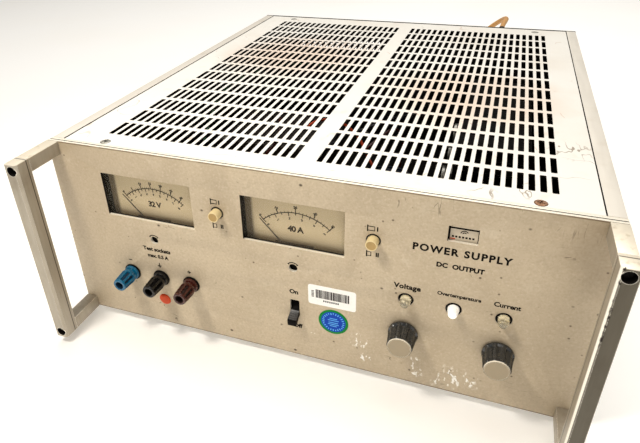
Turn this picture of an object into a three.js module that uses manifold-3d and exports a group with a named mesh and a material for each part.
// Bench power supply: a 4 HE, 84 TE instrument case with front handles, two moving-coil
// meters, range buttons, control knobs, lamps, binding posts and a power switch.
//
// Units are millimetres. +X is right seen from the front, +Y runs from the front panel to
// the back, +Z is up. Inside the "cabinet" group the origin is the bottom left corner of
// the front panel's face. The whole part stands on its feet at Z = 0, and its origin is the
// bottom centre of its bounding box, the mains cord left out.

import * as THREE from 'three';
import { mergeVertices } from 'three/addons/utils/BufferGeometryUtils.js';
import Module from 'manifold-3d';

// ---------------------------------------------------------------- driving dimensions

const GAP = 0.3; // clearance between separate pieces that touch
const CASE_WIDTH = 436;
const CASE_HEIGHT = 177;
const CASE_DEPTH = 484;
const FOOT_HEIGHT = 8;
const HANDLE_REACH = 47.5; // front face of the handle bars, ahead of the panel

const PANEL_THICKNESS = 2.5;
const FRAME_SHADOW_GAP = 0.8; // dark line between the front panel and the front frame
const FRAME_DEPTH = 3.2;
const FRAME_BAR = 13;
const FRAME_BACK = PANEL_THICKNESS + FRAME_SHADOW_GAP + FRAME_DEPTH;
const REAR_PANEL_THICKNESS = 3;
const SHELL_FRONT = FRAME_BACK + GAP;
const SHELL_BACK = CASE_DEPTH - REAR_PANEL_THICKNESS - GAP;

const SIDE_FLANGE = 11.6; // visible top strip of each side profile
const SIDE_WALL = 3;
const SIDE_LEDGE = 22; // ledge under the covers, measured from the side
const LEDGE_THICKNESS = 3;
const COVER_THICKNESS = 1.5;
const COVER_SINK = 0.5; // covers lie this far below the profile's outer face
const COVER_EDGE = 12.4; // groove of 0.8 mm between profile and cover

const SLOT_WIDTH = 4;
const SLOT_PITCH = 7.5;
const SLOT_COLUMNS = 23; // in each of the two fields
const SLOT_BLOCKS = 7; // slot pairs along the depth, the bridge inside each pair left out
const SLOT_FIELD_FRONT = 27;
const SLOT_FIELD_BACK = 450.5;
const SLOT_BRIDGE = 6.2;
const SLOT_FIRST_LEFT = 44;
const SLOT_FIRST_RIGHT = 230.5;

const METER_CENTRES_X = [89.6, 217];
const METER_CENTRE_Z = 132.8;
const METER_WINDOW = [83.4, 40.4];
const METER_PIVOT_DROP = 34.8; // needle pivot below the window's centre
const METER_ZERO_DROP = 39.6; // zero adjusting screw below the window's centre
const METER_DIAL_Y = 9.6;
const NEEDLE_LENGTH = 44;
const NEEDLE_TAIL = 6.8;
const NEEDLE_REST_ANGLE = THREE.MathUtils.degToRad(-42);

const BUTTON_CENTRES_X = [154, 280.3];
const BUTTON_CENTRE_Z = 133;
const BUTTON_RADIUS = 4.45;

const POST_CENTRES_X = [60.6, 90.5, 120.7];
const POST_CENTRE_Z = 53.4;
const PLUG_CENTRE = [90.2, 28.6];

const SWITCH_CENTRE = [217.4, 51.6];
const SWITCH_SLOT = [8, 18];
const SWITCH_PIVOT_Y = 8;
const SWITCH_REST_ANGLE = THREE.MathUtils.degToRad(28);

const BADGE_CENTRE = [341.6, 149.5];
const BADGE_WINDOW = [20.2, 12.4];

const LAMP_CENTRES_X = [307, 342, 377];
const LAMP_CENTRE_Z = 84.8;
const KNOB_CENTRES_X = [307.5, 377.6];
const KNOB_CENTRE_Z = 52.7;

const CORD_DIAMETER = 7;
const GLAND_CENTRE = [344, 164];
const COIL_CENTRE = [212, 552];
const COIL_INNER_TURN = 28; // radius of the innermost turn
const COIL_PITCH = 7.2;
const COIL_LAYERS_Z = CORD_DIAMETER / 2 + 0.1; // height of the lowest turn

// ---------------------------------------------------------------- finishes

function finish(color, roughness, metalness) {
  return new THREE.MeshStandardMaterial({ color, roughness, metalness });
}

const FINISH = {
  panel: finish(0xbfae90, 0.5, 0.1),
  cover: finish(0xe9e0d0, 0.55, 0.1),
  profile: finish(0xd9d2c6, 0.4, 0.7),
  blackPlastic: finish(0x17161a, 0.5, 0),
  dial: finish(0xc9b896, 0.6, 0),
  needle: finish(0x35302a, 0.5, 0),
  glass: finish(0xe8f0ee, 0.05, 0),
  ivory: finish(0xeadfb8, 0.4, 0),
  slate: finish(0x3a4043, 0.45, 0),
  knobCap: finish(0x9a9486, 0.4, 0.1),
  steel: finish(0xb8b8b4, 0.35, 0.9),
  brass: finish(0xb59a4c, 0.35, 0.9),
  bluePlastic: finish(0x1e6ea0, 0.45, 0),
  brownPlastic: finish(0x5a2d28, 0.45, 0),
  orangePlastic: finish(0xcd4b28, 0.5, 0),
  lampClear: finish(0xdcd8c8, 0.15, 0),
  lampWhite: finish(0xefe9dc, 0.35, 0),
  rubber: finish(0x1b1b1b, 0.85, 0),
  cordSheath: finish(0xc8965a, 0.6, 0),
  transformer: finish(0x6b4a2e, 0.7, 0.2),
  heatSink: finish(0x8f9094, 0.45, 0.8),
  board: finish(0x2f6b3a, 0.6, 0),
  capacitor: finish(0x2b4f86, 0.4, 0.1),
};

// ---------------------------------------------------------------- solid helpers

const wasm = await Module();
wasm.setup();

// Welds shared corners, drops collapsed triangles and turns the faces outwards.
function weld(geometry) {
  const bare = geometry.clone();
  bare.deleteAttribute('normal');
  bare.deleteAttribute('uv');
  const welded = mergeVertices(bare, 1e-4);
  const position = welded.attributes.position;
  const corners = [];
  let volume = 0;
  const a = new THREE.Vector3();
  const b = new THREE.Vector3();
  const c = new THREE.Vector3();
  for (let i = 0; i < welded.index.count; i += 3) {
    const [p, q, r] = [0, 1, 2].map((k) => welded.index.getX(i + k));
    if (p !== q && q !== r && r !== p) {
      corners.push(p, q, r);
      a.fromBufferAttribute(position, p);
      b.fromBufferAttribute(position, q);
      c.fromBufferAttribute(position, r);
      volume += a.dot(b.cross(c));
    }
  }
  welded.setIndex(volume < 0 ? corners.reverse() : corners);
  return welded;
}

function solid(geometry) {
  const welded = weld(geometry);
  return new wasm.Manifold(new wasm.Mesh({
    numProp: 3,
    vertProperties: new Float32Array(welded.attributes.position.array),
    triVerts: new Uint32Array(welded.index.array),
  }));
}

function geometryOf(manifold) {
  const mesh = manifold.getMesh();
  const geometry = new THREE.BufferGeometry();
  geometry.setAttribute('position', new THREE.BufferAttribute(mesh.vertProperties, 3));
  geometry.setIndex(new THREE.BufferAttribute(mesh.triVerts, 1));
  geometry.computeVertexNormals();
  return geometry;
}

function cut(body, tools) {
  const rest = tools.reduce((left, tool) => left.subtract(solid(tool)), solid(body));
  return geometryOf(rest);
}

function join(pieces) {
  const whole = pieces.slice(1).reduce((sum, piece) => sum.add(solid(piece)), solid(pieces[0]));
  return geometryOf(whole);
}

// A box given by its limits along each axis.
function block([x0, x1], [y0, y1], [z0, z1]) {
  const box = new THREE.BoxGeometry(x1 - x0, y1 - y0, z1 - z0);
  return box.translate((x0 + x1) / 2, (y0 + y1) / 2, (z0 + z1) / 2);
}

// A body of revolution about Y. The profile holds [radius, y] pairs and closes on the axis
// or on itself.
function turned(profile, segments = 24) {
  const points = profile.map(([radius, y]) => new THREE.Vector2(radius, y));
  return weld(new THREE.LatheGeometry(points, segments));
}

function rod(radius, y0, y1, segments = 24) {
  return turned([[0, y0], [radius, y0], [radius, y1], [0, y1]], segments);
}

// As turned(), with flutes pressed into every profile point further out than flutedFrom.
function fluted(profile, flutes, depth, flutedFrom, segmentsPerFlute = 4) {
  const shape = turned(profile, flutes * segmentsPerFlute);
  const position = shape.attributes.position;
  for (let i = 0; i < position.count; i += 1) {
    const x = position.getX(i);
    const z = position.getZ(i);
    const radius = Math.hypot(x, z);
    if (radius > flutedFrom) {
      const wave = (1 - Math.cos(Math.atan2(z, x) * flutes)) / 2;
      const pressed = (radius - depth * wave) / radius;
      position.setXYZ(i, x * pressed, position.getY(i), z * pressed);
    }
  }
  return shape;
}

// A flat outline in X and Z, given thickness from y0 to y1.
function plate(outline, y0, y1) {
  const shape = new THREE.ExtrudeGeometry(outline, { depth: y1 - y0, bevelEnabled: false, curveSegments: 4 });
  return shape.rotateX(Math.PI / 2).translate(0, y1, 0);
}

// A flat outline in Y and Z, given thickness from x0 to x1.
function slab(outline, x0, x1) {
  const shape = new THREE.ExtrudeGeometry(outline, { depth: x1 - x0, bevelEnabled: false, curveSegments: 4 });
  const axes = new THREE.Matrix4().makeBasis(
    new THREE.Vector3(0, 1, 0),
    new THREE.Vector3(0, 0, 1),
    new THREE.Vector3(1, 0, 0),
  );
  return shape.applyMatrix4(axes).translate(x0, 0, 0);
}

function at(x, y, z) {
  const group = new THREE.Group();
  group.position.set(x, y, z);
  return group;
}

function piece(name, geometry, material) {
  const mesh = new THREE.Mesh(geometry, material);
  mesh.name = name;
  return mesh;
}

// ---------------------------------------------------------------- case

function frontPanel() {
  const plateBody = block([0, CASE_WIDTH], [0, PANEL_THICKNESS], [0, CASE_HEIGHT]);
  const round = (radius, x, z) => rod(radius, -1, PANEL_THICKNESS + 1, 16).translate(x, 0, z);
  const square = ([width, height], x, z) => block(
    [x - width / 2, x + width / 2],
    [-1, PANEL_THICKNESS + 1],
    [z - height / 2, z + height / 2],
  );
  const openings = [
    ...METER_CENTRES_X.map((x) => square(METER_WINDOW, x, METER_CENTRE_Z)),
    ...METER_CENTRES_X.map((x) => round(3.7, x, METER_CENTRE_Z - METER_ZERO_DROP)),
    ...BUTTON_CENTRES_X.map((x) => round(5.5, x, BUTTON_CENTRE_Z)),
    ...POST_CENTRES_X.map((x) => round(4.6, x, POST_CENTRE_Z)),
    ...LAMP_CENTRES_X.map((x) => round(5.85, x, LAMP_CENTRE_Z)),
    ...KNOB_CENTRES_X.map((x) => round(5.2, x, KNOB_CENTRE_Z)),
    round(4.6, ...PLUG_CENTRE),
    square(SWITCH_SLOT, ...SWITCH_CENTRE),
    square(BADGE_WINDOW, ...BADGE_CENTRE),
  ];
  return piece('front_panel', cut(plateBody, openings), FINISH.panel);
}

function frontFrame() {
  const front = PANEL_THICKNESS + FRAME_SHADOW_GAP;
  const ring = cut(
    block([0, CASE_WIDTH], [front, FRAME_BACK], [0, CASE_HEIGHT]),
    [block([FRAME_BAR, CASE_WIDTH - FRAME_BAR], [front - 1, FRAME_BACK + 1], [FRAME_BAR, CASE_HEIGHT - FRAME_BAR])],
  );
  return piece('front_frame', ring, FINISH.profile);
}

// Extruded side profile: an outer wall with a flange and a sunk ledge at top and bottom.
function sideProfile() {
  const corner = 2;
  const ledge = COVER_SINK + COVER_THICKNESS + GAP;
  const outline = new THREE.Shape();
  outline.moveTo(corner, 0);
  outline.lineTo(SIDE_FLANGE, 0);
  outline.lineTo(SIDE_FLANGE, ledge);
  outline.lineTo(SIDE_LEDGE, ledge);
  outline.lineTo(SIDE_LEDGE, ledge + LEDGE_THICKNESS);
  outline.lineTo(SIDE_WALL, ledge + LEDGE_THICKNESS);
  outline.lineTo(SIDE_WALL, CASE_HEIGHT - ledge - LEDGE_THICKNESS);
  outline.lineTo(SIDE_LEDGE, CASE_HEIGHT - ledge - LEDGE_THICKNESS);
  outline.lineTo(SIDE_LEDGE, CASE_HEIGHT - ledge);
  outline.lineTo(SIDE_FLANGE, CASE_HEIGHT - ledge);
  outline.lineTo(SIDE_FLANGE, CASE_HEIGHT);
  outline.lineTo(corner, CASE_HEIGHT);
  outline.absarc(corner, CASE_HEIGHT - corner, corner, Math.PI / 2, Math.PI, false);
  outline.lineTo(0, corner);
  outline.absarc(corner, corner, corner, Math.PI, 1.5 * Math.PI, false);
  return plate(outline, SHELL_FRONT, SHELL_BACK);
}

function sideProfiles() {
  const left = piece('left_side_profile', sideProfile(), FINISH.profile);
  const right = piece('right_side_profile', sideProfile().rotateZ(Math.PI), FINISH.profile);
  right.position.set(CASE_WIDTH, SHELL_FRONT + SHELL_BACK, 0);
  return [left, right];
}

function topCover() {
  const top = CASE_HEIGHT - COVER_SINK;
  const bottom = top - COVER_THICKNESS;
  const blockPitch = (SLOT_FIELD_BACK - SLOT_FIELD_FRONT + SLOT_BRIDGE) / SLOT_BLOCKS;
  const slots = [];
  for (const first of [SLOT_FIRST_LEFT, SLOT_FIRST_RIGHT]) {
    for (let column = 0; column < SLOT_COLUMNS; column += 1) {
      for (let row = 0; row < SLOT_BLOCKS; row += 1) {
        const x = first + column * SLOT_PITCH;
        const y = SLOT_FIELD_FRONT + row * blockPitch;
        slots.push(block(
          [x - SLOT_WIDTH / 2, x + SLOT_WIDTH / 2],
          [y, y + blockPitch - SLOT_BRIDGE],
          [bottom - 1, top + 1],
        ));
      }
    }
  }
  const sheet = block([COVER_EDGE, CASE_WIDTH - COVER_EDGE], [SHELL_FRONT, SHELL_BACK], [bottom, top]);
  return piece('top_cover', cut(sheet, slots), FINISH.cover);
}

function bottomCover() {
  const sheet = block(
    [COVER_EDGE, CASE_WIDTH - COVER_EDGE],
    [SHELL_FRONT, SHELL_BACK],
    [COVER_SINK, COVER_SINK + COVER_THICKNESS],
  );
  return piece('bottom_cover', sheet, FINISH.cover);
}

function rearPanel() {
  const front = CASE_DEPTH - REAR_PANEL_THICKNESS;
  const gland = rod(8.3, front - 1, CASE_DEPTH + 1).translate(GLAND_CENTRE[0], 0, GLAND_CENTRE[1]);
  const sheet = block([0, CASE_WIDTH], [front, CASE_DEPTH], [0, CASE_HEIGHT]);
  return piece('rear_panel', cut(sheet, [gland]), FINISH.cover);
}

function feet() {
  const places = { front_left: [45, 50], front_right: [391, 50], rear_left: [45, 435], rear_right: [391, 435] };
  const profile = [[0, 0], [11, 0], [12, 1], [13, FOOT_HEIGHT + 0.2], [0, FOOT_HEIGHT + 0.2]];
  return Object.entries(places).map(([name, [x, y]]) => {
    const foot = piece(`foot_${name}`, turned(profile, 20).rotateX(Math.PI / 2), FINISH.rubber);
    foot.position.set(x, y, -FOOT_HEIGHT);
    return foot;
  });
}

// ---------------------------------------------------------------- handles

const BAR_DEPTH = 14;
const BAR_WIDTH = 11;
const POST_HEIGHT = 12;

function handle(side, x0) {
  const inner = side === 'left' ? x0 + BAR_WIDTH : x0;
  const outer = side === 'left' ? x0 : x0 + BAR_WIDTH;
  const chamfer = side === 'left' ? -2 : 2;
  const outline = new THREE.Shape();
  outline.moveTo(outer, -HANDLE_REACH);
  outline.lineTo(inner + chamfer, -HANDLE_REACH);
  outline.lineTo(inner, -HANDLE_REACH + Math.abs(chamfer));
  outline.lineTo(inner, -HANDLE_REACH + BAR_DEPTH);
  outline.lineTo(outer, -HANDLE_REACH + BAR_DEPTH);
  const bar = new THREE.ExtrudeGeometry(outline, { depth: CASE_HEIGHT, bevelEnabled: false });
  const screwHoles = [POST_HEIGHT / 2, CASE_HEIGHT - POST_HEIGHT / 2].map((z) => (
    rod(4.2, -HANDLE_REACH - 1, -HANDLE_REACH + 6, 20).translate(x0 + BAR_WIDTH / 2, 0, z)
  ));
  const post = (z0) => block(
    [x0, x0 + BAR_WIDTH],
    [-HANDLE_REACH + BAR_DEPTH + GAP, -GAP],
    [z0, z0 + POST_HEIGHT],
  );
  return [
    piece(`${side}_handle_bar`, cut(bar, screwHoles), FINISH.profile),
    piece(`${side}_handle_upper_post`, post(CASE_HEIGHT - POST_HEIGHT), FINISH.profile),
    piece(`${side}_handle_lower_post`, post(0), FINISH.profile),
  ];
}

// ---------------------------------------------------------------- meters

function meter(name, x) {
  const group = at(x, 0, METER_CENTRE_Z);
  const front = PANEL_THICKNESS + GAP;
  const pivotZ = -METER_PIVOT_DROP;
  const zeroZ = -METER_ZERO_DROP;
  const cavityBack = METER_DIAL_Y + 1.5;
  const housing = cut(block([-47, 47], [front, 45], [-46.8, 25.2]), [
    block([-43, 43], [front - 1, cavityBack], [-21.3, 21.2]),
    block([-43, 43], [6, cavityBack], [-42.8, 21.2]),
    rod(3, front - 1, 7, 20).translate(0, 0, zeroZ),
    rod(1.6, cavityBack - 1, 20, 12).translate(0, 0, pivotZ),
  ]);
  const dial = cut(block([-42.6, 42.6], [METER_DIAL_Y, METER_DIAL_Y + 1.2], [-42.4, 20.8]), [
    rod(2.4, METER_DIAL_Y - 1, METER_DIAL_Y + 3, 12).translate(0, 0, pivotZ),
  ]);
  const pointer = new THREE.Shape();
  pointer.moveTo(-0.8, -NEEDLE_TAIL);
  pointer.lineTo(0.8, -NEEDLE_TAIL);
  pointer.lineTo(0.6, 0);
  pointer.lineTo(0.25, NEEDLE_LENGTH);
  pointer.lineTo(-0.25, NEEDLE_LENGTH);
  pointer.lineTo(-0.6, 0);
  const needle = piece(`${name}_needle`, join([
    rod(3.2, 6.6, 7.9, 16),
    rod(1.2, 6.8, 18, 12),
    plate(pointer, 6.9, 7.5),
  ]), FINISH.needle);
  needle.position.z = pivotZ;
  needle.rotation.y = NEEDLE_REST_ANGLE;
  const zeroScrew = piece(`${name}_zero_screw`, cut(
    rod(2.7, front + GAP, 5.7, 20),
    [block([-3, 3], [front, front + 1.2], [-0.5, 0.5])],
  ), FINISH.blackPlastic);
  zeroScrew.position.z = zeroZ;
  group.add(
    piece(`${name}_housing`, housing, FINISH.blackPlastic),
    piece(`${name}_dial`, dial, FINISH.dial),
    piece(`${name}_window`, block([-42.6, 42.6], [3.4, 5.2], [-20.9, 20.8]), FINISH.glass),
    needle,
    zeroScrew,
  );
  return group;
}

// ---------------------------------------------------------------- buttons, switch, plug

function rangeButton(name, x) {
  const group = at(x, 0, BUTTON_CENTRE_Z);
  const body = join([
    block([-8, 8], [PANEL_THICKNESS + GAP, 30], [-8, 8]),
    rod(5.2, -0.5, 6, 24),
  ]);
  const button = turned([
    [0, -7.5], [BUTTON_RADIUS - 0.7, -7.5], [BUTTON_RADIUS, -6.8], [BUTTON_RADIUS, 10], [0, 10],
  ]);
  group.add(
    piece(`${name}_range_switch`, cut(body, [rod(4.75, -2, 16, 24)]), FINISH.blackPlastic),
    piece(`${name}_range_button`, button, FINISH.ivory),
  );
  return group;
}

function powerSwitch() {
  const group = at(SWITCH_CENTRE[0], 0, SWITCH_CENTRE[1]);
  const body = cut(block([-9, 9], [PANEL_THICKNESS + GAP, 34], [-17, 17]), [
    block([-4.1, 4.1], [PANEL_THICKNESS, 17], [-9.4, 9.4]),
  ]);
  const outline = new THREE.Shape();
  outline.moveTo(0, 3.4);
  outline.absarc(0, 0, 3.4, Math.PI / 2, -Math.PI / 2, true);
  outline.lineTo(-8, -2.5);
  outline.lineTo(-17.6, -2.9);
  outline.quadraticCurveTo(-18.8, 0, -17.6, 2.9);
  outline.lineTo(-8, 2.2);
  const lever = piece('power_switch_lever', slab(outline, -3.7, 3.7), FINISH.blackPlastic);
  lever.position.y = SWITCH_PIVOT_Y;
  lever.rotation.x = SWITCH_REST_ANGLE;
  group.add(piece('power_switch_body', body, FINISH.blackPlastic), lever);
  return group;
}

function blankingPlug() {
  const profile = [[0, -2], [3.4, -1.9], [5.3, -1.2], [5.7, -GAP], [4.3, -GAP], [4.3, 5.5], [0, 5.5]];
  const plug = piece('blanking_plug', turned(profile), FINISH.orangePlastic);
  plug.position.set(PLUG_CENTRE[0], 0, PLUG_CENTRE[1]);
  return plug;
}

// ---------------------------------------------------------------- binding posts

// The base holds the threaded stud. The metal bush runs on the stud and turns with the cap.
function bindingPost(name, x, capFinish) {
  const group = at(x, 0, POST_CENTRE_Z);
  const base = turned([
    [0, -17], [2.6, -17], [2.6, -5], [5.4, -5], [5.4, -4], [6.9, -4], [7, -1.3], [8, -1.3],
    [8, -GAP], [4.3, -GAP], [4.3, PANEL_THICKNESS + GAP], [6.8, PANEL_THICKNESS + GAP], [6.8, 8], [2.6, 8], [2.6, 20], [0, 20],
  ], 16);
  const bush = turned([[2.9, -15], [4.3, -15], [4.3, -6], [2.9, -6], [2.9, -15]], 16);
  const cap = fluted([
    [4.6, -5.6], [6.2, -5.6], [6.9, -6.6], [6.1, -21.3], [5.4, -22], [2.4, -22], [2.4, -17.6],
    [4.6, -17.6], [4.6, -5.6],
  ], 14, 0.6, 5.8, 2);
  group.add(
    piece(`${name}_post_base`, base, capFinish),
    piece(`${name}_post_bush`, bush, FINISH.brass),
    piece(`${name}_post_cap`, cap, capFinish),
  );
  return group;
}

// ---------------------------------------------------------------- knobs and lamps

function controlKnob(name, x) {
  const group = at(x, 0, KNOB_CENTRE_Z);
  const potentiometer = turned([
    [3.3, -4], [4.8, -4], [4.8, -2.4], [6.4, -2.4], [6.4, -GAP], [4.8, -GAP], [4.8, PANEL_THICKNESS + GAP],
    [11, PANEL_THICKNESS + GAP], [11, 28], [0, 28], [0, 18], [3.3, 18], [3.3, -4],
  ], 20);
  const knob = fluted([
    [0, 17.5], [3, 17.5], [3, -5], [7.4, -5], [7.4, -1.2], [10.2, -1.2], [11, -2.4], [10.5, -10.2],
    [9.8, -18.4], [9.4, -18.4], [9.4, -17.4], [0, -17.4],
  ], 10, 1, 9.7, 3);
  const cap = turned([[0, -19.3], [8.7, -19.3], [9.1, -18.9], [9.1, -17.7], [0, -17.7]]);
  group.add(
    piece(`${name}_potentiometer`, potentiometer, FINISH.steel),
    piece(`${name}_knob`, knob, FINISH.slate),
    piece(`${name}_knob_cap`, cap, FINISH.knobCap),
  );
  return group;
}

function lamp(name, x, lens) {
  const profile = [
    [0, -7.7], [2, -7.6], [3, -6.6], [3.9, -4.6], [4.25, -2], [4.25, 1], [5.6, 1],
    [5.6, PANEL_THICKNESS + GAP], [7, PANEL_THICKNESS + GAP], [7, 18], [0, 18],
  ];
  const body = piece(`${name}_lamp`, turned(profile, 16), lens);
  body.position.set(x, 0, LAMP_CENTRE_Z);
  return body;
}

// ---------------------------------------------------------------- inside and rear

function mainsTransformer() {
  const core = block([-62, 62], [-50, 50], [0, 104]);
  const winding = block([-40, 40], [-68, 68], [16, 88]);
  const transformer = piece('mains_transformer', join([core, winding]), FINISH.transformer);
  transformer.position.set(128, 220, 8);
  return transformer;
}

function heatSink() {
  const finHeight = 62;
  const pitch = 14;
  const outline = new THREE.Shape();
  outline.moveTo(0, 0);
  for (let fin = 0; fin < 8; fin += 1) {
    outline.lineTo(10, fin * pitch);
    outline.lineTo(10 + finHeight, fin * pitch + 1);
    outline.lineTo(10 + finHeight, fin * pitch + 3);
    outline.lineTo(10, fin * pitch + 4);
  }
  outline.lineTo(0, 7 * pitch + 4);
  const sink = piece('heat_sink', plate(outline, 0, 210), FINISH.heatSink);
  sink.position.set(318, 200, 24);
  return sink;
}

function smoothingCapacitor() {
  const can = turned([[0, 0], [25, 0], [25, 102], [22, 104], [0, 104]], 20);
  const capacitor = piece('smoothing_capacitor', can.rotateX(Math.PI / 2), FINISH.capacitor);
  capacitor.position.set(262, 140, 8);
  return capacitor;
}

function controlBoard() {
  const board = piece('control_board', block([60, 376], [64, 66], [10, 150]), FINISH.board);
  return board;
}

// ---------------------------------------------------------------- mains cord

const RELIEF_END = 45; // the tapered strain relief ends this far behind the rear panel

function strainRelief() {
  const profile = [
    [0, -12], [8, -12], [8, GAP], [10.5, GAP], [10.5, 7], [7, 8.5], [6.6, 14], [4.6, RELIEF_END], [0, RELIEF_END],
  ];
  const relief = piece('strain_relief', turned(profile, 20), FINISH.blackPlastic);
  relief.position.set(GLAND_CENTRE[0], CASE_DEPTH, GLAND_CENTRE[1]);
  return relief;
}

// Route of the cord's middle line from the strain relief to the coil, in cabinet
// coordinates: straight out, over in a left-hand bend, and down to the surface.
const CORD_ROUTE = [
  [344, 529.3, 164], [344.6, 546, 164.6], [346.2, 563, 165.4], [347.8, 578, 165.6], [348.2, 591, 165],
  [346, 603, 162.6], [340.6, 612.4, 157.4], [331.6, 617.6, 149.4], [321, 619, 139.4], [311, 618.2, 126],
  [303, 616.4, 110], [296, 614, 91], [289.4, 611, 71], [282, 607.2, 50], [273, 603.4, 30],
  [262, 599.8, 12.8], [250.6, 597.4, 2.6], [239.6, 595.6, -3],
];

function mainsCord() {
  const route = new THREE.CatmullRomCurve3(CORD_ROUTE.map((point) => new THREE.Vector3(...point)), false, 'centripetal');
  const section = new THREE.Shape();
  section.absarc(0, 0, CORD_DIAMETER / 2, 0, 2 * Math.PI);
  const steps = 26;
  const tube = new THREE.ExtrudeGeometry(section, { steps, extrudePath: route, curveSegments: 5, bevelEnabled: false });
  return piece('mains_cord', weld(tube), FINISH.cordSheath);
}

// Two layers of three turns with one more turn on top of the outermost.
function cordCoil() {
  const half = COIL_PITCH / 2;
  const inside = COIL_INNER_TURN - half;
  const outside = COIL_INNER_TURN + 2 * COIL_PITCH + half;
  const step = outside - COIL_PITCH;
  const layer = (count) => count * COIL_PITCH;
  const ring = turned([
    [inside, 0.1], [outside, 0.1], [outside, layer(3)], [step, layer(3)], [step, layer(2)],
    [inside, layer(2)], [inside, 0.1],
  ], 32);
  const coil = piece('mains_cord_coil', ring.rotateX(Math.PI / 2), FINISH.cordSheath);
  coil.position.set(COIL_CENTRE[0], COIL_CENTRE[1], -FOOT_HEIGHT);
  return coil;
}

function mainsPlug() {
  const body = turned([
    [0, 0], [5, 0], [7, 18], [13, 22], [17.6, 30], [18.2, 52], [18.2, 56], [0, 56],
  ], 20);
  const pin = (z) => rod(2.4, 55, 75, 12).translate(0, 0, z);
  const plug = piece('mains_plug', join([body, pin(-9.5), pin(9.5)]), FINISH.blackPlastic);
  plug.rotation.set(0, Math.PI / 2, -Math.PI / 2, 'ZYX');
  const axisHeight = COIL_LAYERS_Z + 2 * COIL_PITCH + 0.5;
  const outerTurn = COIL_INNER_TURN + 2 * COIL_PITCH;
  plug.position.set(COIL_CENTRE[0] + 29, COIL_CENTRE[1] - outerTurn, axisHeight - FOOT_HEIGHT);
  return plug;
}

// ---------------------------------------------------------------- assembly

const cabinet = at(-CASE_WIDTH / 2, (HANDLE_REACH - CASE_DEPTH) / 2, FOOT_HEIGHT);
cabinet.add(
  frontPanel(),
  frontFrame(),
  ...sideProfiles(),
  topCover(),
  bottomCover(),
  rearPanel(),
  ...feet(),
  ...handle('left', 0),
  ...handle('right', CASE_WIDTH - BAR_WIDTH),
  meter('voltmeter', METER_CENTRES_X[0]),
  meter('ammeter', METER_CENTRES_X[1]),
  rangeButton('voltage', BUTTON_CENTRES_X[0]),
  rangeButton('current', BUTTON_CENTRES_X[1]),
  powerSwitch(),
  blankingPlug(),
  bindingPost('negative', POST_CENTRES_X[0], FINISH.bluePlastic),
  bindingPost('earth', POST_CENTRES_X[1], FINISH.blackPlastic),
  bindingPost('positive', POST_CENTRES_X[2], FINISH.brownPlastic),
  controlKnob('voltage', KNOB_CENTRES_X[0]),
  controlKnob('current', KNOB_CENTRES_X[1]),
  lamp('left', LAMP_CENTRES_X[0], FINISH.lampClear),
  lamp('middle', LAMP_CENTRES_X[1], FINISH.lampWhite),
  lamp('right', LAMP_CENTRES_X[2], FINISH.lampClear),
  mainsTransformer(),
  heatSink(),
  smoothingCapacitor(),
  controlBoard(),
  strainRelief(),
  mainsCord(),
  cordCoil(),
  mainsPlug(),
);

const powerSupply = new THREE.Group();
powerSupply.add(cabinet);

export default powerSupply;
